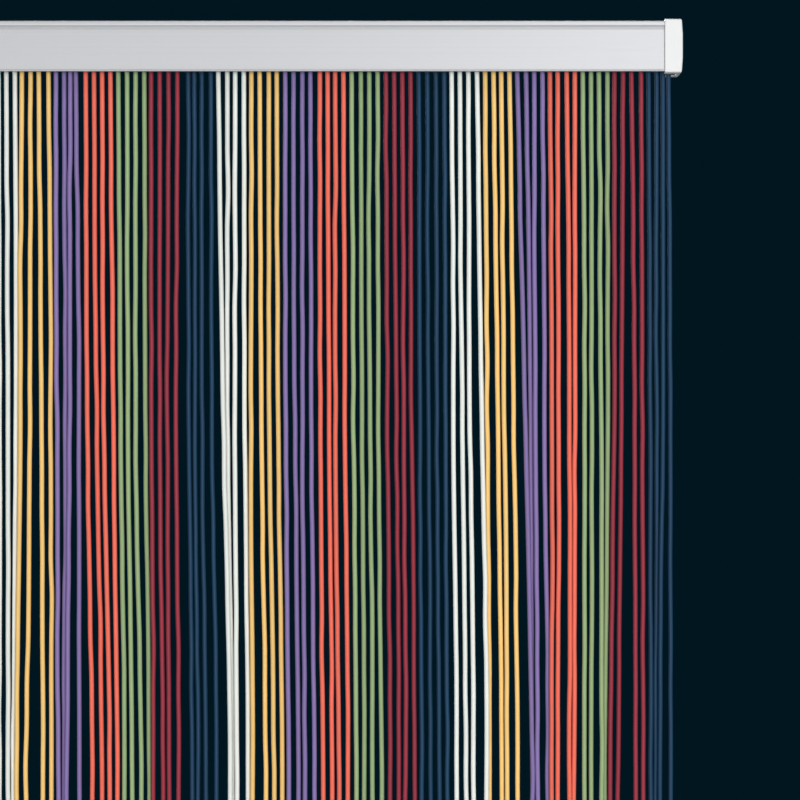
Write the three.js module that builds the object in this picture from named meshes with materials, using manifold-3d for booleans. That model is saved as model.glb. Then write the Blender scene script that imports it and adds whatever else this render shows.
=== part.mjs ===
// A doorway curtain of hanging cords in groups of four, each group one colour, with the aluminium rail it hangs from.
// Units are millimetres and +Z is up. The origin is the middle of the rail's flat back face.
// The front of the curtain faces -Y and +X runs to the right end of the rail.

import * as THREE from "three";
import { mergeVertices } from "three/addons/utils/BufferGeometryUtils.js";
import Module from "manifold-3d";

const wasm = await Module();
wasm.setup();

// Cords
const CORD_PITCH = 5;
const CORDS_PER_GROUP = 4;
const GROUP_COUNT = 50;
const CORD_SIDE = 2.5; // a square with the area of the round cord, 2.8 mm across
const CORD_DROP = 2170; // from the rail's underside to the cut ends
const CUT_UNEVEN = 3; // how far a cut end lies above or below the others
const CUT_WAVE = 2.4; // radians from one cord to the next in the wave that the cut ends follow
const PLY_SHIFT = 2; // how far a cord hangs in front of or behind the rail's slot

// Depths below the rail's underside at which a cord changes course
const KNEE_DEPTH = 200;
const FOOT_DEPTH = 443;
const SETTLE_DEPTH = 1100;
const SETTLE_SHARE = 0.8; // how much of the sideways shift is left at the settle depth
const END_SHARE = 0.55; // and at the cut end

// Rail section
const RAIL_HEIGHT = 30.4;
const RAIL_DEPTH = 18;
const RAIL_WALL = 1.5;
const BEAD_TOP_RADIUS = 0.9; // bead along the top front edge: round above, then flat, then round below
const BEAD_FLAT = 1.25;
const BEAD_FOOT_RADIUS = 1.35;
const BEAD_END = (17 * Math.PI) / 12; // the lower round turns from straight ahead to here
const COVE_DROP = 5.5; // from the rail's top to the foot of the shallow cove under the bead
const FACE_Y = -17.4;
const FRONT_INSIDE_Y = -15.6;
const FOOT_BEAD_RADIUS = 0.6; // thin bead along the bottom front edge
const FASCIA_DROP = 4; // how far the front face hangs below the ledges and the back wall
const SLOT_WIDTH = 8; // the cords come down between the ledges

// End caps
const CAP_PROUD = 1; // beyond the rail above, below and in front
const CAP_LENGTH = 10.8;
const CAP_END_WALL = 2;
const NOTCH_END_WALL = 3.2; // from the end of the notch below to the cap's outer end
const CAP_ROUND = 0.9; // rounded outer edges
const CAP_CORNER = 1; // rounded front corners
const CAP_OVERLAP = 4.2; // how far the cap reaches past the outermost cord's even place

// Strips that hold the cords' roots
const STRIP_THICKNESS = 2.4;
const STRIP_MARGIN = 0.6; // beyond the first and the last cord

const GAP = 0.3; // between pieces that touch
const TRIM = 10; // how far a cutting block reaches past what it cuts
const WELD = 1e-4; // corners nearer than this are one corner

// Places worked out from the sizes above
const RAIL_HALF = RAIL_HEIGHT / 2;
const CHANNEL_BACK_Y = -RAIL_WALL;
const SLOT_Y = (CHANNEL_BACK_Y + FRONT_INSIDE_Y) / 2;
const LEDGE_FOOT_Z = -RAIL_HALF + FASCIA_DROP;
const LEDGE_TOP_Z = LEDGE_FOOT_Z + RAIL_WALL;
const GROUP_WIDTH = CORD_PITCH * CORDS_PER_GROUP;
const LAST_CORD_X = (GROUP_COUNT * GROUP_WIDTH - CORD_PITCH) / 2;
const CAP_START_X = LAST_CORD_X - CAP_OVERLAP;
const CAP_END_X = CAP_START_X + CAP_LENGTH;
const RAIL_END_X = CAP_END_X - CAP_END_WALL - GAP;

// Looks
const RAIL_FINISH = { color: 0xd9dbdf, roughness: 0.35, metalness: 0.6 };
const CAP_FINISH = { color: 0xf1f0f0, roughness: 0.4, metalness: 0 };
const CORD_ROUGHNESS = 0.7;
const CORD_COLOURS = {
  navy: 0x22384f,
  burgundy: 0x8a3148,
  green: 0x8fa878,
  coral: 0xdc6452,
  purple: 0x7d6ba6,
  yellow: 0xe8c478,
  white: 0xeef0ee,
};
const COLOUR_ORDER = Object.keys(CORD_COLOURS); // from the right end, over and over

// How far each cord of a group hangs to the right of its even place, left to right: at the root, at the knee
// and at the foot. The first row is the group at the right end, and the rows run to the left.
const HANG = [
  { root: [2.0, 1.9, 0.7, -1.0], knee: [2.8, 2.3, 0.3, 0.6], foot: [3.6, 1.7, -1.2, 0.7] },
  { root: [1.3, 1.6, 1.5, 2.4], knee: [0.9, 0.9, 3.3, 3.5], foot: [-1.5, -1.5, 4.2, 4.3] },
  { root: [2.0, 2.0, 1.8, 2.0], knee: [3.1, 2.5, 3.0, 2.5], foot: [3.1, 2.2, 3.3, 0.7] },
  { root: [2.0, 1.8, 2.2, 2.2], knee: [3.2, 2.3, 3.8, 2.5], foot: [2.7, 2.1, 4.0, 1.8] },
  { root: [2.1, 2.5, 2.5, 2.5], knee: [6.5, 5.4, 3.2, 4.1], foot: [11.6, 6.8, 4.9, 5.8] },
  { root: [2.7, 2.7, 2.4, 2.4], knee: [4.0, 5.5, 4.2, 5.2], foot: [5.8, 7.9, 5.9, 7.5] },
  { root: [2.3, 2.3, 2.5, 2.7], knee: [3.3, 3.8, 3.7, 5.5], foot: [5.1, 6.0, 5.6, 9.0] },
  { root: [2.4, 2.6, 2.8, 2.8], knee: [3.2, 3.5, 3.6, 3.7], foot: [4.3, 4.5, 5.1, 4.7] },
  { root: [2.4, 2.4, 2.4, 2.4], knee: [3.4, 3.5, 3.0, 3.0], foot: [5.0, 5.5, 4.6, 5.0] },
  { root: [1.6, 2.2, 2.3, 2.4], knee: [2.6, 2.8, 2.7, 2.8], foot: [4.4, 4.6, 4.6, 5.0] },
  { root: [2.3, 2.0, 1.6, 1.6], knee: [2.5, 2.5, 2.0, 2.5], foot: [4.2, 4.5, 4.2, 4.2] },
  { root: [1.3, 1.3, 1.7, 1.5], knee: [1.6, 2.1, 1.6, 2.1], foot: [3.7, 3.9, 3.4, 4.1] },
  { root: [0.7, 0.7, 1.3, 1.1], knee: [0.8, 1.7, 1.9, 1.7], foot: [1.8, 3.9, 4.4, 4.3] },
  { root: [0.5, 1.1, 0.9, 1.1], knee: [3.4, 1.1, 0.7, 1.5], foot: [8.1, 4.6, 1.8, 3.7] },
  { root: [2.3, 1.0, 0.6, 1.0], knee: [2.7, 1.3, 0.8, 1.7], foot: [4.7, 3.2, 3.3, 4.4] },
  { root: [-0.2, 0.0, 0.4, 0.8], knee: [0.0, -0.4, -0.1, -0.1], foot: [1.5, 1.7, 1.2, 1.5] },
  { root: [-0.2, 0.2, 0.4, 0.6], knee: [1.3, 0.4, 0.6, 0.9], foot: [4.1, 3.0, 3.9, 3.7] },
  { root: [0.0, 0.0, 0.0, 0.0], knee: [1.1, 1.1, 1.2, 1.3], foot: [4.2, 4.6, 5.2, 4.3] },
];

// Cords hang in front of the slot (-1) and behind it (1) by turns, so that two that cross pass each other.
// Where a cord crosses the next group the other way round, its row number is listed here.
const PLY = [-1, 1, -1, 1];
const PLY_BY_ROW = {
  6: [1, 1, -1, 1],
  7: [-1, 1, 1, -1],
};

// Solids

function toSolid(geometry) {
  const bare = geometry.clone();
  bare.deleteAttribute("normal");
  bare.deleteAttribute("uv");
  const merged = mergeVertices(bare, WELD);
  return new wasm.Manifold(
    new wasm.Mesh({
      numProp: 3,
      vertProperties: new Float32Array(merged.attributes.position.array),
      triVerts: new Uint32Array(merged.index.array),
    }),
  );
}

function toGeometry(solid) {
  const mesh = solid.getMesh();
  const geometry = new THREE.BufferGeometry();
  geometry.setAttribute("position", new THREE.BufferAttribute(mesh.vertProperties, 3));
  geometry.setIndex(new THREE.BufferAttribute(mesh.triVerts, 1));
  geometry.computeVertexNormals();
  return geometry;
}

function block(lowX, highX, lowY, highY, lowZ, highZ) {
  const box = new THREE.BoxGeometry(highX - lowX, highY - lowY, highZ - lowZ);
  return box.translate((lowX + highX) / 2, (lowY + highY) / 2, (lowZ + highZ) / 2);
}

// Turns a section drawn as (Y, Z) and extruded along its own Z so that it runs along X.
function alongX(geometry) {
  const turned = new THREE.Matrix4().makeBasis(
    new THREE.Vector3(0, 1, 0),
    new THREE.Vector3(0, 0, 1),
    new THREE.Vector3(1, 0, 0),
  );
  return geometry.applyMatrix4(turned);
}

function namedMesh(name, geometry, finish) {
  const mesh = new THREE.Mesh(geometry, new THREE.MeshStandardMaterial(finish));
  mesh.name = name;
  return mesh;
}

// Rail: a channel with a slot between two ledges at the bottom. Its front hangs lower than the ledges, and has
// a bead and a cove along the top.

function railSection() {
  const beadTopY = -RAIL_DEPTH + BEAD_TOP_RADIUS;
  const beadTopZ = RAIL_HALF - BEAD_TOP_RADIUS;
  const beadFootY = -RAIL_DEPTH + BEAD_FOOT_RADIUS;
  const beadFootZ = beadTopZ - BEAD_FLAT;
  const footBeadZ = -RAIL_HALF + FOOT_BEAD_RADIUS;
  const slotFrontY = SLOT_Y - SLOT_WIDTH / 2;
  const slotBackY = SLOT_Y + SLOT_WIDTH / 2;
  const section = new THREE.Shape();
  section.moveTo(0, LEDGE_FOOT_Z);
  section.lineTo(0, RAIL_HALF);
  section.lineTo(beadTopY, RAIL_HALF);
  section.absarc(beadTopY, beadTopZ, BEAD_TOP_RADIUS, Math.PI / 2, Math.PI, false);
  section.absarc(beadFootY, beadFootZ, BEAD_FOOT_RADIUS, Math.PI, BEAD_END, false);
  section.lineTo(FACE_Y, RAIL_HALF - COVE_DROP);
  section.absarc(FACE_Y, footBeadZ, FOOT_BEAD_RADIUS, Math.PI / 2, (3 * Math.PI) / 2, false);
  section.lineTo(FRONT_INSIDE_Y, -RAIL_HALF);
  section.lineTo(FRONT_INSIDE_Y, LEDGE_FOOT_Z);
  section.lineTo(slotFrontY, LEDGE_FOOT_Z);
  section.lineTo(slotFrontY, LEDGE_TOP_Z);
  section.lineTo(FRONT_INSIDE_Y, LEDGE_TOP_Z);
  section.lineTo(FRONT_INSIDE_Y, RAIL_HALF - RAIL_WALL);
  section.lineTo(CHANNEL_BACK_Y, RAIL_HALF - RAIL_WALL);
  section.lineTo(CHANNEL_BACK_Y, LEDGE_TOP_Z);
  section.lineTo(slotBackY, LEDGE_TOP_Z);
  section.lineTo(slotBackY, LEDGE_FOOT_Z);
  return section;
}

function railGeometry() {
  const length = 2 * RAIL_END_X;
  const bar = new THREE.ExtrudeGeometry(railSection(), {
    depth: length,
    bevelEnabled: false,
    curveSegments: 8,
  });
  return alongX(bar).translate(-RAIL_END_X, 0, 0);
}

// End cap: a moulded sleeve over the rail's end, open at the back and notched below for the outermost cord.
// It is drawn for the right end, with its own origin where it starts on the rail.

function capGeometry() {
  const topZ = RAIL_HALF + CAP_PROUD;
  const frontY = -RAIL_DEPTH - CAP_PROUD;
  const outline = new THREE.Shape();
  outline.moveTo(TRIM, -topZ);
  outline.lineTo(TRIM, topZ);
  outline.lineTo(frontY + CAP_CORNER, topZ);
  outline.absarc(frontY + CAP_CORNER, topZ - CAP_CORNER, CAP_CORNER, Math.PI / 2, Math.PI, false);
  outline.absarc(frontY + CAP_CORNER, -topZ + CAP_CORNER, CAP_CORNER, Math.PI, (3 * Math.PI) / 2, false);
  const rounded = new THREE.ExtrudeGeometry(outline, {
    depth: CAP_LENGTH,
    bevelThickness: CAP_ROUND,
    bevelSize: CAP_ROUND,
    bevelOffset: -CAP_ROUND,
    bevelSegments: 4,
    curveSegments: 4,
  });
  const body = toSolid(alongX(rounded).translate(-CAP_ROUND, 0, 0));
  const innerEnd = toSolid(block(-TRIM, 0, frontY - TRIM, 2 * TRIM, -topZ - TRIM, topZ + TRIM));
  const backFace = toSolid(block(-TRIM, CAP_LENGTH + TRIM, 0, 2 * TRIM, -topZ - TRIM, topZ + TRIM));
  const seatTopZ = RAIL_HALF + GAP;
  const seatEndX = CAP_LENGTH - CAP_END_WALL;
  const seat = toSolid(block(-TRIM, seatEndX, -RAIL_DEPTH - GAP, TRIM, -seatTopZ, seatTopZ));
  const notchFrontY = SLOT_Y - SLOT_WIDTH / 2;
  const notchBackY = SLOT_Y + SLOT_WIDTH / 2;
  const notchEndX = CAP_LENGTH - NOTCH_END_WALL;
  const notch = toSolid(block(-TRIM, notchEndX, notchFrontY, notchBackY, -topZ - TRIM, 0));
  return toGeometry(body.subtract(innerEnd).subtract(backFace).subtract(seat).subtract(notch));
}

// Cords: each group of four is fused at its roots into one strip that lies on the rail's ledges.

// A cord's course from its root in the strip to its cut end, counted from the middle of its group.
function cordCourse(group, cord) {
  const row = group % HANG.length;
  const { root, knee, foot } = HANG[row];
  const evenX = (cord - (CORDS_PER_GROUP - 1) / 2) * CORD_PITCH;
  const ply = (PLY_BY_ROW[row + 1] ?? PLY)[cord] * PLY_SHIFT;
  const underside = -RAIL_HALF;
  const cut = CORD_DROP + CUT_UNEVEN * Math.sin(CUT_WAVE * (group * CORDS_PER_GROUP + cord));
  return [
    { x: evenX + root[cord], y: SLOT_Y, z: LEDGE_TOP_Z + GAP + STRIP_THICKNESS / 2 },
    { x: evenX + knee[cord], y: SLOT_Y + ply, z: underside - KNEE_DEPTH },
    { x: evenX + foot[cord], y: SLOT_Y + ply, z: underside - FOOT_DEPTH },
    { x: evenX + SETTLE_SHARE * foot[cord], y: SLOT_Y + ply, z: underside - SETTLE_DEPTH },
    { x: evenX + END_SHARE * foot[cord], y: SLOT_Y + ply, z: underside - cut },
  ];
}

// A four-sided cord with one square ring of corners at each point of its course.
function cordGeometry(course) {
  const half = CORD_SIDE / 2;
  const corners = [
    [-half, -half],
    [half, -half],
    [half, half],
    [-half, half],
  ];
  const sides = corners.length;
  const positions = course.flatMap(({ x, y, z }) => corners.flatMap(([dx, dy]) => [x + dx, y + dy, z]));
  const faces = [0, 1, 2, 0, 2, 3];
  for (let ring = 0; ring < course.length - 1; ring++) {
    for (let side = 0; side < sides; side++) {
      const upper = ring * sides + side;
      const upperNext = ring * sides + ((side + 1) % sides);
      const lower = upper + sides;
      const lowerNext = upperNext + sides;
      faces.push(lower, lowerNext, upperNext, lower, upperNext, upper);
    }
  }
  const last = (course.length - 1) * sides;
  faces.push(last, last + 2, last + 1, last, last + 3, last + 2);
  const geometry = new THREE.BufferGeometry();
  geometry.setAttribute("position", new THREE.Float32BufferAttribute(positions, 3));
  geometry.setIndex(faces);
  return geometry;
}

function cordGroupGeometry(group) {
  const courses = [];
  for (let cord = 0; cord < CORDS_PER_GROUP; cord++) courses.push(cordCourse(group, cord));
  const edge = CORD_SIDE / 2 + STRIP_MARGIN;
  const firstRoot = courses[0][0];
  const lastRoot = courses[CORDS_PER_GROUP - 1][0];
  const strip = block(
    firstRoot.x - edge,
    lastRoot.x + edge,
    FRONT_INSIDE_Y + GAP,
    CHANNEL_BACK_Y - GAP,
    firstRoot.z - STRIP_THICKNESS / 2,
    firstRoot.z + STRIP_THICKNESS / 2,
  );
  const solids = courses.map((course) => toSolid(cordGeometry(course)));
  return toGeometry(solids.reduce((joined, cord) => joined.add(cord), toSolid(strip)));
}

// The curtain

function makeRail() {
  return namedMesh("rail", railGeometry(), RAIL_FINISH);
}

function makeCaps() {
  const caps = new THREE.Group();
  for (const [name, side] of [
    ["end_cap_right", 1],
    ["end_cap_left", -1],
  ]) {
    const cap = namedMesh(name, capGeometry(), CAP_FINISH);
    cap.position.x = side * CAP_START_X;
    cap.scale.x = side;
    caps.add(cap);
  }
  return caps;
}

function makeCords() {
  const cords = new THREE.Group();
  for (let group = 0; group < GROUP_COUNT; group++) {
    const colour = COLOUR_ORDER[group % COLOUR_ORDER.length];
    const number = String(group + 1).padStart(2, "0");
    const finish = { color: CORD_COLOURS[colour], roughness: CORD_ROUGHNESS, metalness: 0 };
    const mesh = namedMesh(`cords_${number}_${colour}`, cordGroupGeometry(group), finish);
    mesh.position.x = LAST_CORD_X + CORD_PITCH / 2 - GROUP_WIDTH * (group + 0.5);
    cords.add(mesh);
  }
  return cords;
}

const curtain = new THREE.Group();
curtain.add(makeRail(), makeCaps(), makeCords());

export default curtain;
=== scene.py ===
# A doorway curtain of hanging cords: the round cords, the extruded rail, the moulded end caps, their
# materials, and a plain studio. Lengths are in metres, and small ones are written as so many times MM.
# The few values in millimetres say so.

import math
import random

import bmesh
import bpy
import numpy as np
from mathutils import Matrix, Vector


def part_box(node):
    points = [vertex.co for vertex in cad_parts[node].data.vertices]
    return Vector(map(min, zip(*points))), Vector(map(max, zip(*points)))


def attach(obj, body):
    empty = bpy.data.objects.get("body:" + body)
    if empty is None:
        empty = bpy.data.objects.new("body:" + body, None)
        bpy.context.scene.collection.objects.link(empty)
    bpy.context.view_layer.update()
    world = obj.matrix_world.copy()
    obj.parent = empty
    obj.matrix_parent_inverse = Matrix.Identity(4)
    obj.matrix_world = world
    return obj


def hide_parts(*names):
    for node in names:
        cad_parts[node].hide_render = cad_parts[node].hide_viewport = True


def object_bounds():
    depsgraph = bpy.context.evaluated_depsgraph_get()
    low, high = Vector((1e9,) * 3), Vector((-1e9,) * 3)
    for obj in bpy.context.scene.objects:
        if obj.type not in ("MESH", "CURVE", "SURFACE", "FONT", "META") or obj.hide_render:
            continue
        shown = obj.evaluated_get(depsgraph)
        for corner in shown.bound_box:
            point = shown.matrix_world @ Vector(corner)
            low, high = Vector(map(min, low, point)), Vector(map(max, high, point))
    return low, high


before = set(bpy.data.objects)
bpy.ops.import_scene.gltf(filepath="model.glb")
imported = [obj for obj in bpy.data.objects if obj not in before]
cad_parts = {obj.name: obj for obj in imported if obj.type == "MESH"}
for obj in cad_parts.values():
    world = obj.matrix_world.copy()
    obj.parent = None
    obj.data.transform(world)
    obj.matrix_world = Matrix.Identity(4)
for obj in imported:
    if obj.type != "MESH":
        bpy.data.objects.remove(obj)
cad_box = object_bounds()

MM = 0.001

# Cords
CORD_PITCH = 5 * MM
CORDS_PER_GROUP = 4
CORD_RADIUS = 1.4 * MM
CORD_SIDES = 10
CORD_DROP = 2170 * MM
CUT_UNEVEN = 3 * MM  # how far a cut end lies above or below the drop
CUT_WAVE = 2.4  # radians of that unevenness from one cord to the next
PLY_SHIFT = 2 * MM
STRIP_THICKNESS = 2.4 * MM
STRIP_MARGIN = 1.85 * MM

# Depths below the rail's underside at which a cord changes course, and the share of its sideways shift at
# the foot that is left lower down
KNEE_DEPTH = 200 * MM
FOOT_DEPTH = 443 * MM
SETTLE_DEPTH = 1100 * MM
SETTLE_SHARE = 0.8
END_SHARE = 0.55

# Steps along a cord: short where the camera comes near, long below
NEAR_STEP = 4.5 * MM
FAR_STEP = 26 * MM
NEAR_DEPTH = 470 * MM

# The cut end's small rounding: how far each ring lies below the last full one, and its radius, in cord radii
END_ROUND = [(0.35, 0.86), (0.5, 0.6)]

# Small kinks left in the cords: spacing of their turning points, and how far they usually lead sideways
KINKS = [
    {"spacing": 110 * MM, "reach": 0.2 * MM},
    {"spacing": 26 * MM, "reach": 0.13 * MM},
]
SPARE_KNOTS = 4  # turning points beyond those that fill the drop

FIRST_SEED = 100  # of the first group's random draws, and one more for each group after it
STRIP_TONE = 0.5  # between the darkest yarn at 0 and the lightest at 1

# Rail section
RAIL_DEPTH = 18 * MM
RAIL_WALL = 1.5 * MM
BEAD_TOP_RADIUS = 0.9 * MM
BEAD_FLAT = 1.25 * MM
BEAD_FOOT_RADIUS = 1.35 * MM
BEAD_END = 255  # degrees
BEAD_STEPS = 10
COVE_DROP = 5.5 * MM
COVE_STEPS = 6
FACE_Y = -17.4 * MM
FRONT_INSIDE_Y = -15.6 * MM
FOOT_BEAD_RADIUS = 0.6 * MM
FOOT_BEAD_STEPS = 12
FASCIA_DROP = 4 * MM
SLOT_WIDTH = 8 * MM

# End caps
CAP_PROUD = 1 * MM
CAP_LENGTH = 10.8 * MM
CAP_END_WALL = 2 * MM
NOTCH_END_WALL = 3.2 * MM
CAP_CORNER = 1 * MM
CAP_CORNER_STEPS = 8
CAP_ROUND = 0.9 * MM
CAP_ROUND_STEPS = 8
CAP_DOME = 0.8 * MM
DOME_POWER = 4  # the higher, the flatter the middle of the cap's end
GAP = 0.3 * MM
CUT_CLEAR = 10 * MM  # how far a cutting box reaches past what it cuts

# Edges: the small radius that paint or a mould leaves, and the least angle between two faces, in degrees,
# at which their edge gets it
RAIL_EDGE = {"width": 0.15 * MM, "angle": 40}
CAP_EDGE = {"width": 0.2 * MM, "angle": 50}
EDGE_SEGMENTS = 2
SMOOTH_ANGLE = 35
FACE_WEIGHT = 100  # large faces alone set the normals of the small ones beside them

# How far each cord of a group hangs to the right of its even place, in millimetres, left to right: at the
# root, at the knee and at the foot. The first row is the group at the right end, and the rows run to the
# left and start over after the last.
HANG = [
    {"root": (2.0, 1.9, 0.7, -1.0), "knee": (2.8, 2.3, 0.3, 0.6), "foot": (3.6, 1.7, -1.2, 0.7)},
    {"root": (1.3, 1.6, 1.5, 2.4), "knee": (0.9, 0.9, 3.3, 3.5), "foot": (-1.5, -1.5, 4.2, 4.3)},
    {"root": (2.0, 2.0, 1.8, 2.0), "knee": (3.1, 2.5, 3.0, 2.5), "foot": (3.1, 2.2, 3.3, 0.7)},
    {"root": (2.0, 1.8, 2.2, 2.2), "knee": (3.2, 2.3, 3.8, 2.5), "foot": (2.7, 2.1, 4.0, 1.8)},
    {"root": (2.1, 2.5, 2.5, 2.5), "knee": (6.5, 5.4, 3.2, 4.1), "foot": (11.6, 6.8, 4.9, 5.8)},
    {"root": (2.7, 2.7, 2.4, 2.4), "knee": (4.0, 5.5, 4.2, 5.2), "foot": (5.8, 7.9, 5.9, 7.5)},
    {"root": (2.3, 2.3, 2.5, 2.7), "knee": (3.3, 3.8, 3.7, 5.5), "foot": (5.1, 6.0, 5.6, 9.0)},
    {"root": (2.4, 2.6, 2.8, 2.8), "knee": (3.2, 3.5, 3.6, 3.7), "foot": (4.3, 4.5, 5.1, 4.7)},
    {"root": (2.4, 2.4, 2.4, 2.4), "knee": (3.4, 3.5, 3.0, 3.0), "foot": (5.0, 5.5, 4.6, 5.0)},
    {"root": (1.6, 2.2, 2.3, 2.4), "knee": (2.6, 2.8, 2.7, 2.8), "foot": (4.4, 4.6, 4.6, 5.0)},
    {"root": (2.3, 2.0, 1.6, 1.6), "knee": (2.5, 2.5, 2.0, 2.5), "foot": (4.2, 4.5, 4.2, 4.2)},
    {"root": (1.3, 1.3, 1.7, 1.5), "knee": (1.6, 2.1, 1.6, 2.1), "foot": (3.7, 3.9, 3.4, 4.1)},
    {"root": (0.7, 0.7, 1.3, 1.1), "knee": (0.8, 1.7, 1.9, 1.7), "foot": (1.8, 3.9, 4.4, 4.3)},
    {"root": (0.5, 1.1, 0.9, 1.1), "knee": (3.4, 1.1, 0.7, 1.5), "foot": (8.1, 4.6, 1.8, 3.7)},
    {"root": (2.3, 1.0, 0.6, 1.0), "knee": (2.7, 1.3, 0.8, 1.7), "foot": (4.7, 3.2, 3.3, 4.4)},
    {"root": (-0.2, 0.0, 0.4, 0.8), "knee": (0.0, -0.4, -0.1, -0.1), "foot": (1.5, 1.7, 1.2, 1.5)},
    {"root": (-0.2, 0.2, 0.4, 0.6), "knee": (1.3, 0.4, 0.6, 0.9), "foot": (4.1, 3.0, 3.9, 3.7)},
    {"root": (0.0, 0.0, 0.0, 0.0), "knee": (1.1, 1.1, 1.2, 1.3), "foot": (4.2, 4.6, 5.2, 4.3)},
]

# Cords hang in front of the slot's middle (-1) and behind it (1) by turns. The rows that cross another way
# are listed by their index in HANG.
PLY = (-1, 1, -1, 1)
PLY_BY_ROW = {5: (1, 1, -1, 1), 6: (-1, 1, 1, -1)}

# Places worked out from the sizes above and from the frame
GROUP_COUNT = sum(name.startswith("cords_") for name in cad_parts)
GROUP_WIDTH = CORD_PITCH * CORDS_PER_GROUP
CURTAIN_HALF = GROUP_COUNT * GROUP_WIDTH / 2
RAIL_LOW, RAIL_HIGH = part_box("rail")
RAIL_HALF = (RAIL_HIGH.z - RAIL_LOW.z) / 2
CHANNEL_BACK_Y = -RAIL_WALL
SLOT_Y = (CHANNEL_BACK_Y + FRONT_INSIDE_Y) / 2
SLOT_FRONT_Y = SLOT_Y - SLOT_WIDTH / 2
SLOT_BACK_Y = SLOT_Y + SLOT_WIDTH / 2
LEDGE_FOOT_Z = -RAIL_HALF + FASCIA_DROP
LEDGE_TOP_Z = LEDGE_FOOT_Z + RAIL_WALL
ROOT_DEPTH = -(FASCIA_DROP + RAIL_WALL + GAP + STRIP_THICKNESS / 2)


# Camera: level and square to the curtain, in front of its top right corner

EYE_DISTANCE = 1.3
VIEW_WIDTH = 0.486  # of the picture, where the cords hang
EYE_X = 0.3335
EYE_Z = -0.2136
SENSOR_MM = 36
CLIP_NEAR = 0.01


def make_camera():
    data = bpy.data.cameras.new("camera")
    data.sensor_width = SENSOR_MM
    data.lens = SENSOR_MM * EYE_DISTANCE / VIEW_WIDTH
    data.clip_start = CLIP_NEAR
    camera = new_object("camera", data)
    camera.location = (EYE_X, SLOT_Y - EYE_DISTANCE, EYE_Z)
    camera.rotation_euler = (math.pi / 2, 0, 0)
    bpy.context.scene.camera = camera


# Material nodes


def new_material(name):
    material = bpy.data.materials.new(name)
    material.use_nodes = True
    nodes = material.node_tree.nodes
    nodes.clear()
    output = nodes.new("ShaderNodeOutputMaterial")
    shader = nodes.new("ShaderNodeBsdfPrincipled")
    link(material, shader.outputs["BSDF"], output.inputs["Surface"])
    return material, shader


def link(material, output, socket):
    material.node_tree.links.new(output, socket)


def add_node(material, kind, settings=None, inputs=None):
    """A new node.

    settings sets its properties, and inputs gives each socket a value or the output that feeds it.
    """
    node = material.node_tree.nodes.new(kind)
    for key, value in (settings or {}).items():
        setattr(node, key, value)
    for key, value in (inputs or {}).items():
        if isinstance(value, bpy.types.NodeSocket):
            link(material, value, node.inputs[key])
        else:
            node.inputs[key].default_value = value
    return node


def math_node(material, operation, first, second=0.0):
    return add_node(material, "ShaderNodeMath", {"operation": operation}, {0: first, 1: second}).outputs[0]


def noise(material, place, scale, detail, roughness=0.5):
    inputs = {"Vector": place, "Scale": scale, "Detail": detail, "Roughness": roughness}
    return add_node(material, "ShaderNodeTexNoise", None, inputs).outputs["Fac"]


def map_range(material, value, low, high, value_low=0.0, value_high=1.0):
    """The value carried over from its own range to the one between low and high."""
    inputs = {"Value": value, "From Min": value_low, "From Max": value_high, "To Min": low, "To Max": high}
    return add_node(material, "ShaderNodeMapRange", None, inputs).outputs["Result"]


def mixed_colour(material, factor, first, second):
    inputs = {"Factor": factor, "A": (*first, 1), "B": (*second, 1)}
    return add_node(material, "ShaderNodeMix", {"data_type": "RGBA"}, inputs).outputs["Result"]


def shaded_colour(material, colour, shade):
    """The colour times the shade."""
    settings = {"data_type": "RGBA", "blend_type": "MULTIPLY"}
    inputs = {"Factor": 1.0, "A": colour, "B": shade}
    return add_node(material, "ShaderNodeMix", settings, inputs).outputs["Result"]


def add_bump(material, shader, height, strength, relief):
    inputs = {"Strength": strength, "Distance": relief, "Height": height}
    bump = add_node(material, "ShaderNodeBump", None, inputs)
    link(material, bump.outputs["Normal"], shader.inputs["Normal"])


# Cord material

# Linear red, green and blue of the yarn
CORD_COLOURS = {
    "navy": (0.006, 0.037, 0.084),
    "burgundy": (0.265, 0.024, 0.041),
    "green": (0.265, 0.352, 0.168),
    "coral": (0.735, 0.131, 0.084),
    "purple": (0.204, 0.143, 0.336),
    "yellow": (0.800, 0.500, 0.165),
    "white": (0.705, 0.708, 0.665),
}
BRAID_YARNS = 6  # yarns round the cord that wind the same way
BRAID_RELIEF = 0.07 * MM
BRAID_BUMP = 0.5
PAINTED_CREASE_SHADE = 0.28  # painted shade: how much darker the base colour is made in the creases between the yarns
PAINTED_SHADE_FLOOR = -0.5  # height of the braid's wave up to which the painted crease shade is darkest
PAINTED_SHADE_BRIM = 0.7  # height of the braid's wave at which the painted crease shade ends
TONE_SPREAD = 0.16  # how much lighter or darker the yarn runs
DYE_SCALE = 0.35  # waves in the length of one turn round the cord
DYE_DETAIL = 3.0
DYE_ROUGHNESS = 0.6
CORD_ROUGH_LOW = 0.48
CORD_ROUGH_HIGH = 0.64
CORD_SPECULAR = 0.25


def braid_wave(material, uv):
    """Height of two families of yarns that wind round the cord, one to each side."""
    split = add_node(material, "ShaderNodeSeparateXYZ", None, {0: uv})
    round_it = math_node(material, "MULTIPLY", split.outputs["X"], 2 * math.pi * BRAID_YARNS)
    along = math_node(material, "MULTIPLY", split.outputs["Y"], 2 * math.pi * BRAID_YARNS)
    left = math_node(material, "SINE", math_node(material, "ADD", round_it, along))
    right = math_node(material, "SINE", math_node(material, "SUBTRACT", round_it, along))
    return math_node(material, "MAXIMUM", left, right)


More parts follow.
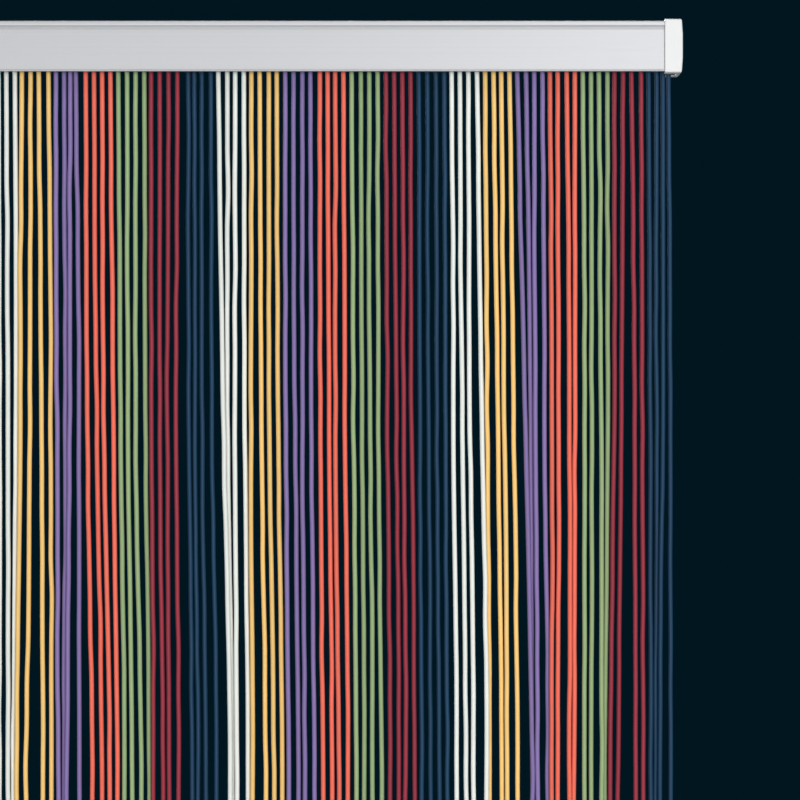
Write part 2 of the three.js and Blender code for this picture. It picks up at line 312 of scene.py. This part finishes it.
def cord_material(colour, rgb):
    """Smooth braided cord, with a soft shine, a slightly uneven dye and painted shade in the creases of its
    braid.
    """
    material, shader = new_material("cord_" + colour)
    uv = add_node(material, "ShaderNodeUVMap", {"uv_map": "cord"}).outputs["UV"]
    braid = braid_wave(material, uv)
    add_bump(material, shader, braid, BRAID_BUMP, BRAID_RELIEF)

    tone = add_node(material, "ShaderNodeAttribute", {"attribute_name": "tone"}).outputs["Fac"]
    dye = noise(material, uv, DYE_SCALE, DYE_DETAIL, DYE_ROUGHNESS)
    share = math_node(material, "MULTIPLY", math_node(material, "ADD", tone, dye), 0.5)
    darker = tuple(c * (1 - TONE_SPREAD) for c in rgb)
    lighter = tuple(min(1.0, c * (1 + TONE_SPREAD)) for c in rgb)
    yarn = mixed_colour(material, share, darker, lighter)
    # Painted shade: the base colour is darkened where the braid's wave is low, in the creases between the
    # yarns
    painted_crease_shade = map_range(material, braid, 1 - PAINTED_CREASE_SHADE, 1.0, PAINTED_SHADE_FLOOR, PAINTED_SHADE_BRIM)
    link(material, shaded_colour(material, yarn, painted_crease_shade), shader.inputs["Base Color"])

    rough = map_range(material, dye, CORD_ROUGH_LOW, CORD_ROUGH_HIGH)
    link(material, rough, shader.inputs["Roughness"])
    shader.inputs["Specular IOR Level"].default_value = CORD_SPECULAR
    return material


# Rail material

RAIL_DARK = (0.384, 0.377, 0.388)
RAIL_LIGHT = (0.415, 0.408, 0.419)
DRAWN_STRETCH = (1.5, 900, 900)  # waves per metre along X, Y and Z
DRAWN_DETAIL = 4.0
PEEL_SCALE = 700.0  # waves per metre
PEEL_DETAIL = 2.0
RAIL_BUMP = 0.12
RAIL_RELIEF = 0.02 * MM
RAIL_ROUGH_LOW = 0.36
RAIL_ROUGH_HIGH = 0.48
RAIL_METALLIC = 0.12


def rail_material():
    """Pale satin paint on extruded metal, with faint lines drawn out along the rail."""
    material, shader = new_material("rail_paint")
    place = add_node(material, "ShaderNodeTexCoord").outputs["Object"]
    drawn = add_node(material, "ShaderNodeMapping", None, {"Vector": place, "Scale": DRAWN_STRETCH})
    lines = noise(material, drawn.outputs["Vector"], 1.0, DRAWN_DETAIL)
    peel = noise(material, place, PEEL_SCALE, PEEL_DETAIL)
    add_bump(material, shader, math_node(material, "ADD", lines, peel), RAIL_BUMP, RAIL_RELIEF)
    link(material, mixed_colour(material, lines, RAIL_DARK, RAIL_LIGHT), shader.inputs["Base Color"])
    rough = map_range(material, lines, RAIL_ROUGH_LOW, RAIL_ROUGH_HIGH)
    link(material, rough, shader.inputs["Roughness"])
    shader.inputs["Metallic"].default_value = RAIL_METALLIC
    return material


# Cap material

CAP_DARK = (0.550, 0.542, 0.537)
CAP_LIGHT = (0.592, 0.584, 0.579)
GRAIN_SCALE = 900.0  # waves per metre
GRAIN_DETAIL = 3.0
CLOUD_SCALE = 60.0  # waves per metre
CLOUD_DETAIL = 2.0
CAP_BUMP = 0.15
CAP_RELIEF = 0.03 * MM
CAP_ROUGH_LOW = 0.38
CAP_ROUGH_HIGH = 0.5


def cap_material():
    """Smooth moulded white plastic with a fine grain."""
    material, shader = new_material("cap_plastic")
    place = add_node(material, "ShaderNodeTexCoord").outputs["Object"]
    grain = noise(material, place, GRAIN_SCALE, GRAIN_DETAIL)
    cloud = noise(material, place, CLOUD_SCALE, CLOUD_DETAIL)
    add_bump(material, shader, grain, CAP_BUMP, CAP_RELIEF)
    link(material, mixed_colour(material, cloud, CAP_DARK, CAP_LIGHT), shader.inputs["Base Color"])
    rough = map_range(material, grain, CAP_ROUGH_LOW, CAP_ROUGH_HIGH)
    link(material, rough, shader.inputs["Roughness"])
    return material


# Pieces and meshes

BOX_FACES = [(0, 2, 3, 1), (4, 5, 7, 6), (0, 1, 5, 4), (2, 6, 7, 3), (0, 4, 6, 2), (1, 3, 7, 5)]


def box_corners(low, high):
    return [(x, y, z) for z in (low[2], high[2]) for y in (low[1], high[1]) for x in (low[0], high[0])]


def outward_mesh(name, vertices, faces):
    """A mesh whose faces all point out."""
    mesh = bpy.data.meshes.new(name)
    mesh.from_pydata(vertices, [], faces)
    work = bmesh.new()
    work.from_mesh(mesh)
    bmesh.ops.recalc_face_normals(work, faces=work.faces)
    work.to_mesh(mesh)
    work.free()
    return mesh


def new_object(name, data):
    made = bpy.data.objects.new(name, data)
    bpy.context.scene.collection.objects.link(made)
    return made


def new_piece(name, mesh, material, slot, *nodes):
    """A piece that rides on the part's one body and stands for the given CAD nodes."""
    piece = new_object(name, mesh)
    mesh.materials.append(material)
    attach(piece, "root")
    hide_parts(*nodes)
    return piece


def apply_modifiers(piece):
    graph = bpy.context.evaluated_depsgraph_get()
    mesh = bpy.data.meshes.new_from_object(piece.evaluated_get(graph))
    piece.modifiers.clear()
    piece.data = mesh


def round_edges(piece, width, angle):
    bevel = piece.modifiers.new("edges", "BEVEL")
    bevel.width = width
    bevel.segments = EDGE_SEGMENTS
    bevel.limit_method = "ANGLE"
    bevel.angle_limit = math.radians(angle)
    apply_modifiers(piece)


def shade_by_angle(piece):
    """Smooths faces that meet at a small angle and keeps the sharper edges crisp. Large faces stay flat."""
    mesh = piece.data
    mesh.shade_smooth()
    work = bmesh.new()
    work.from_mesh(mesh)
    limit = math.radians(SMOOTH_ANGLE)
    for edge in work.edges:
        edge.smooth = len(edge.link_faces) == 2 and edge.calc_face_angle() < limit
    work.to_mesh(mesh)
    work.free()
    weigh = piece.modifiers.new("normals", "WEIGHTED_NORMAL")
    weigh.keep_sharp = True
    weigh.weight = FACE_WEIGHT
    apply_modifiers(piece)


# Cords


def smooth_curve(depths, knots, values):
    """Values at the depths, on a smooth curve through the knots that doesn't overshoot between them."""
    knots = np.array(knots)
    values = np.array(values)
    slopes = np.diff(values) / np.diff(knots)
    tangents = np.zeros(len(values))
    tangents[0] = slopes[0]
    tangents[-1] = slopes[-1]
    for i in range(1, len(values) - 1):
        if slopes[i - 1] * slopes[i] > 0:
            tangents[i] = 2 * slopes[i - 1] * slopes[i] / (slopes[i - 1] + slopes[i])
    place = np.clip(np.searchsorted(knots, depths) - 1, 0, len(knots) - 2)
    width = knots[place + 1] - knots[place]
    t = (depths - knots[place]) / width
    start = (2 * t**3 - 3 * t**2 + 1) * values[place] + (t**3 - 2 * t**2 + t) * width * tangents[place]
    end = (3 * t**2 - 2 * t**3) * values[place + 1] + (t**3 - t**2) * width * tangents[place + 1]
    return start + end


def kinks(depths, chance):
    """Small sideways turns left in a cord, none at its root."""
    total = np.zeros_like(depths)
    for kink in KINKS:
        count = int(CORD_DROP / kink["spacing"]) + SPARE_KNOTS
        knots = np.arange(count) * kink["spacing"] - kink["spacing"] * chance.random()
        values = [chance.gauss(0, 1) * kink["reach"] for _ in range(count)]
        values[0] = 0
        values[1] = 0
        total += smooth_curve(depths, knots, values)
    return total


def cord_centreline(group, cord, chance):
    """The cord's points from its root in the rail to its cut end."""
    row = group % len(HANG)
    hang = HANG[row]
    group_x = CURTAIN_HALF - GROUP_WIDTH * (group + 0.5)
    even_x = group_x + (cord - (CORDS_PER_GROUP - 1) / 2) * CORD_PITCH
    ply = PLY_BY_ROW.get(row, PLY)[cord] * PLY_SHIFT
    cut = CORD_DROP + CUT_UNEVEN * math.sin(CUT_WAVE * (group * CORDS_PER_GROUP + cord))
    near = np.arange(ROOT_DEPTH, NEAR_DEPTH, NEAR_STEP)
    far = np.linspace(NEAR_DEPTH, cut, int((cut - NEAR_DEPTH) / FAR_STEP))
    depths = np.concatenate([near, far])
    knots = [ROOT_DEPTH, KNEE_DEPTH, FOOT_DEPTH, SETTLE_DEPTH, cut]
    shifts = [
        hang["root"][cord],
        hang["knee"][cord],
        hang["foot"][cord],
        SETTLE_SHARE * hang["foot"][cord],
        END_SHARE * hang["foot"][cord],
    ]
    x = even_x + smooth_curve(depths, knots, shifts) * MM + kinks(depths, chance)
    y = SLOT_Y + smooth_curve(depths, knots, [0, ply, ply, ply, ply]) + kinks(depths, chance) / 2
    z = -RAIL_HALF - depths
    return np.stack([x, y, z], axis=1)


def tube(centres):
    """Vertices, quads and uvs of a round cord along the centres.

    The cord hangs almost straight down, so its rings lie level. U goes from 0 to 1 round the cord, and V
    rises by 1 for every such length down it.
    """
    turn = np.arange(CORD_SIDES) * 2 * math.pi / CORD_SIDES
    ring = np.stack([np.cos(turn), np.sin(turn), np.zeros(CORD_SIDES)], axis=1) * CORD_RADIUS
    body = centres[:, None, :] + ring[None, :, :]
    tip = [centres[-1] + ring * wide - np.array([0, 0, down * CORD_RADIUS]) for down, wide in END_ROUND]
    rings = np.concatenate([body, np.array(tip)], axis=0)
    levels = len(rings)

    level = np.arange(levels - 1)[:, None] * CORD_SIDES
    side = np.arange(CORD_SIDES)[None, :]
    after = (side + 1) % CORD_SIDES
    upper, upper_next = level + side, level + after
    lower, lower_next = upper + CORD_SIDES, upper_next + CORD_SIDES
    quads = np.stack([lower, lower_next, upper_next, upper], axis=2).reshape(-1, 4)

    girth = 2 * math.pi * CORD_RADIUS
    v = -rings[:, 0, 2] / girth
    u = side / CORD_SIDES + np.zeros((levels - 1, 1))
    u_next = u + 1 / CORD_SIDES
    v_upper = v[:-1, None] + np.zeros((1, CORD_SIDES))
    v_lower = v[1:, None] + np.zeros((1, CORD_SIDES))
    uvs = np.stack([u, v_lower, u_next, v_lower, u_next, v_upper, u, v_upper], axis=2).reshape(-1, 4, 2)
    return rings.reshape(-1, 3), quads, uvs


def strip_box(low_x, high_x):
    """Vertices, quads and uvs of the short strip that holds a group's roots."""
    low = (low_x, FRONT_INSIDE_Y + GAP, LEDGE_TOP_Z + GAP)
    high = (high_x, CHANNEL_BACK_Y - GAP, LEDGE_TOP_Z + GAP + STRIP_THICKNESS)
    return np.array(box_corners(low, high)), np.array(BOX_FACES), np.zeros((len(BOX_FACES), 4, 2))


def cord_group_mesh(name, group):
    """The cords of one group and their strip, with each cord's own tone."""
    chance = random.Random(FIRST_SEED + group)
    centrelines = [cord_centreline(group, cord, chance) for cord in range(CORDS_PER_GROUP)]
    tones = [chance.random() for _ in centrelines]
    parts = [tube(centres) for centres in centrelines]
    parts.append(strip_box(centrelines[0][0][0] - STRIP_MARGIN, centrelines[-1][0][0] + STRIP_MARGIN))
    tones.append(STRIP_TONE)

    counts = [len(part_vertices) for part_vertices, _, _ in parts]
    starts = [sum(counts[:index]) for index in range(len(parts))]
    vertices = np.concatenate([part_vertices for part_vertices, _, _ in parts])
    quads = np.concatenate([part_quads + start for (_, part_quads, _), start in zip(parts, starts)])
    uvs = np.concatenate([part_uvs for _, _, part_uvs in parts])
    # Each cord's last ring, just before the next part's first vertex, closes its cut end
    ends = [tuple(range(start - 1, start - 1 - CORD_SIDES, -1)) for start in starts[1:]]
    end_uvs = np.zeros(2 * CORD_SIDES * len(ends))

    mesh = bpy.data.meshes.new(name)
    mesh.from_pydata(vertices.tolist(), [], quads.tolist() + ends)
    layer = mesh.uv_layers.new(name="cord")
    layer.data.foreach_set("uv", np.concatenate([uvs.reshape(-1), end_uvs]).astype(np.float32))
    attribute = mesh.attributes.new("tone", "FLOAT", "POINT")
    attribute.data.foreach_set("value", np.repeat(tones, counts).astype(np.float32))
    mesh.shade_smooth()
    return mesh


def make_cords():
    materials = {colour: cord_material(colour, rgb) for colour, rgb in CORD_COLOURS.items()}
    for node in sorted(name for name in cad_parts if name.startswith("cords_")):
        _, number, colour = node.split("_")
        mesh = cord_group_mesh("hanging_" + node, int(number) - 1)
        new_piece("hanging_" + node, mesh, materials[colour], "cord_" + colour, node)


# Rail


def arc(centre_y, centre_z, radius, start, end, steps):
    """(Y, Z) points on an arc between two angles in degrees."""
    turns = [math.radians(start + (end - start) * i / steps) for i in range(steps + 1)]
    return [(centre_y + radius * math.cos(turn), centre_z + radius * math.sin(turn)) for turn in turns]


def soft_step(start, end, steps):
    """Points after start that lead to end, leaving and arriving straight down."""
    points = []
    for i in range(1, steps + 1):
        share = i / steps
        eased = share * share * (3 - 2 * share)
        points.append((start[0] + (end[0] - start[0]) * eased, start[1] + (end[1] - start[1]) * share))
    return points


def rail_outline():
    """The rail's section as (Y, Z) points, with the bead and the cove along the top of its front."""
    bead_top_z = RAIL_HALF - BEAD_TOP_RADIUS
    bead_top = arc(-RAIL_DEPTH + BEAD_TOP_RADIUS, bead_top_z, BEAD_TOP_RADIUS, 90, 180, BEAD_STEPS)
    bead_foot_z = bead_top_z - BEAD_FLAT
    bead_foot = arc(-RAIL_DEPTH + BEAD_FOOT_RADIUS, bead_foot_z, BEAD_FOOT_RADIUS, 180, BEAD_END, BEAD_STEPS)
    cove = soft_step(bead_foot[-1], (FACE_Y, RAIL_HALF - COVE_DROP), COVE_STEPS)
    foot_bead = arc(FACE_Y, -RAIL_HALF + FOOT_BEAD_RADIUS, FOOT_BEAD_RADIUS, 90, 270, FOOT_BEAD_STEPS)
    inside_top = RAIL_HALF - RAIL_WALL
    return [
        (0, LEDGE_FOOT_Z),
        (0, RAIL_HALF),
        *bead_top,
        *bead_foot,
        *cove,
        *foot_bead,
        (FRONT_INSIDE_Y, -RAIL_HALF),
        (FRONT_INSIDE_Y, LEDGE_FOOT_Z),
        (SLOT_FRONT_Y, LEDGE_FOOT_Z),
        (SLOT_FRONT_Y, LEDGE_TOP_Z),
        (FRONT_INSIDE_Y, LEDGE_TOP_Z),
        (FRONT_INSIDE_Y, inside_top),
        (CHANNEL_BACK_Y, inside_top),
        (CHANNEL_BACK_Y, LEDGE_TOP_Z),
        (SLOT_BACK_Y, LEDGE_TOP_Z),
        (SLOT_BACK_Y, LEDGE_FOOT_Z),
    ]


def make_rail():
    outline = rail_outline()
    count = len(outline)
    vertices = [(x, y, z) for x in (RAIL_LOW.x, RAIL_HIGH.x) for y, z in outline]
    sides = [(i, (i + 1) % count, count + (i + 1) % count, count + i) for i in range(count)]
    ends = [tuple(range(count - 1, -1, -1)), tuple(range(count, 2 * count))]
    mesh = outward_mesh("painted_rail", vertices, sides + ends)
    rail = new_piece("painted_rail", mesh, rail_material(), "rail", "rail")
    round_edges(rail, **RAIL_EDGE)
    shade_by_angle(rail)


# End caps


def cap_outline(inset):
    """The cap's section as (Y, Z) points, drawn in by inset except at its back.

    The points down the middle of its front let the domed end bend there.
    """
    top = RAIL_HALF + CAP_PROUD - inset
    front = -RAIL_DEPTH - CAP_PROUD + inset
    corner = CAP_CORNER - inset / 2
    return [
        (0, top),
        *arc(front + corner, top - corner, corner, 90, 180, CAP_CORNER_STEPS),
        *[(front, share * (top - corner)) for share in (0.5, 0, -0.5)],
        *arc(front + corner, -top + corner, corner, 180, 270, CAP_CORNER_STEPS),
        (0, -top),
    ]


def cap_body(start_x):
    """Vertices and faces of the cap before it is hollowed out.

    Its rings follow each other along X and draw in at the outer end, which is slightly domed.
    """
    stations = [(0, 0)]
    for i in range(CAP_ROUND_STEPS + 1):
        turn = math.pi / 2 * i / CAP_ROUND_STEPS
        reach = CAP_LENGTH - CAP_ROUND + CAP_ROUND * math.sin(turn)
        stations.append((reach, CAP_ROUND * (1 - math.cos(turn))))
    vertices = []
    for reach, inset in stations:
        for y, z in cap_outline(inset):
            height = abs(z) / (RAIL_HALF + CAP_PROUD)
            dome = CAP_DOME * (height * reach / CAP_LENGTH) ** DOME_POWER
            vertices.append((start_x + reach - dome, y, z))
    count = len(vertices) // len(stations)
    faces = []
    for first in range(0, len(vertices) - count, count):
        for i in range(count):
            after = (i + 1) % count
            faces.append((first + i, first + after, first + count + after, first + count + i))
    faces.append(tuple(range(count - 1, -1, -1)))
    faces.append(tuple(range(len(vertices) - count, len(vertices))))
    return vertices, faces


def cut_box(body, low, high):
    cutter = new_object("cutter", outward_mesh("cutter", box_corners(low, high), BOX_FACES))
    cut = body.modifiers.new("cut", "BOOLEAN")
    cut.operation = "DIFFERENCE"
    cut.solver = "EXACT"
    cut.object = cutter
    apply_modifiers(body)
    bpy.data.objects.remove(cutter)


def make_cap(name, node, side, plastic):
    """The cap at the right end (side 1) or its mirror image at the left end (side -1)."""
    low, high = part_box(node)
    start_x = low.x if side > 0 else -high.x
    vertices, faces = cap_body(start_x)
    body = new_object(name + "_body", outward_mesh(name + "_body", vertices, faces))
    seat_end = start_x + CAP_LENGTH - CAP_END_WALL
    seat_top = RAIL_HALF + GAP
    cut_box(body, (start_x - CUT_CLEAR, -RAIL_DEPTH - GAP, -seat_top), (seat_end, CUT_CLEAR, seat_top))
    notch_low = (start_x - CUT_CLEAR, SLOT_FRONT_Y, -RAIL_HALF - CUT_CLEAR)
    notch_high = (start_x + CAP_LENGTH - NOTCH_END_WALL, SLOT_BACK_Y, 0)
    cut_box(body, notch_low, notch_high)
    mesh = body.data
    bpy.data.objects.remove(body)
    if side < 0:
        mesh.transform(Matrix.Diagonal((-1, 1, 1, 1)))
        mesh.flip_normals()
    mesh.name = name
    cap = new_piece(name, mesh, plastic, "end_caps", node)
    round_edges(cap, **CAP_EDGE)
    shade_by_angle(cap)


def make_caps():
    plastic = cap_material()
    make_cap("moulded_cap_right", "end_cap_right", 1, plastic)
    make_cap("moulded_cap_left", "end_cap_left", -1, plastic)


# Studio

SURROUND_COLOUR = (0.0006, 0.0080, 0.0144, 1)
FLOOR_COLOUR = (0.50, 0.50, 0.49, 1)
FLOOR_ROUGHNESS = 0.8
FLOOR_HALF = 4.0
FLOOR_CLEAR = 30 * MM  # below the cords' cut ends

# What the lights face, and a faint blue tint
TOP = (0.3, 0, -0.3)
MIDDLE = (0, 0, -1.0)
FOOT = (0.1, 0, -1.3)
COOL = (0.86, 0.97, 1.0)

# Soft lights: where each stands, what it faces, its width and height, and its power in watts
LIGHTS = {
    "key": {"place": (1.15, -2.7, 0.25), "faces": TOP, "size": (0.9, 0.9), "watts": 43},
    "front": {"place": (-0.5, -3.3, -0.4), "faces": MIDDLE, "size": (0.9, 1.2), "watts": 36},
    "overhead": {"place": (0.8, -1.3, 1.9), "faces": TOP, "size": (1.2, 0.8), "watts": 18},
    "side": {"place": (2.2, -0.8, 0.5), "faces": TOP, "size": (0.8, 0.8), "watts": 3},
    "low": {"place": (0.4, -3.1, -0.9), "faces": FOOT, "size": (1.4, 0.7), "watts": 36, "colour": COOL},
    "rear": {"place": (0.0, 3.4, 1.2), "faces": MIDDLE, "size": (2.2, 2.2), "watts": 140},
}


def soft_light(name, place, faces, size, watts, colour=(1, 1, 1)):
    data = bpy.data.lights.new(name, "AREA")
    data.shape = "RECTANGLE"
    data.size, data.size_y = size
    data.energy = watts
    data.color = colour
    light = new_object(name, data)
    light.location = place
    light.rotation_euler = (Vector(faces) - Vector(place)).to_track_quat("-Z", "Y").to_euler()
    light.visible_camera = False


def make_floor():
    z = cad_box[0].z - FLOOR_CLEAR
    half = FLOOR_HALF
    corners = [(-half, -half, z), (half, -half, z), (half, half, z), (-half, half, z)]
    floor = new_object("floor", outward_mesh("floor", corners, [(0, 1, 2, 3)]))
    paint, shader = new_material("floor_paint")
    shader.inputs["Base Color"].default_value = FLOOR_COLOUR
    shader.inputs["Roughness"].default_value = FLOOR_ROUGHNESS
    floor.data.materials.append(paint)


def make_studio():
    world = bpy.data.worlds.new("studio")
    world.use_nodes = True
    world.node_tree.nodes["Background"].inputs["Color"].default_value = SURROUND_COLOUR
    bpy.context.scene.world = world
    bpy.context.scene.view_settings.view_transform = "Standard"
    make_floor()
    for name, light in LIGHTS.items():
        soft_light(name, **light)


make_camera()
make_cords()
make_rail()
make_caps()
make_studio()
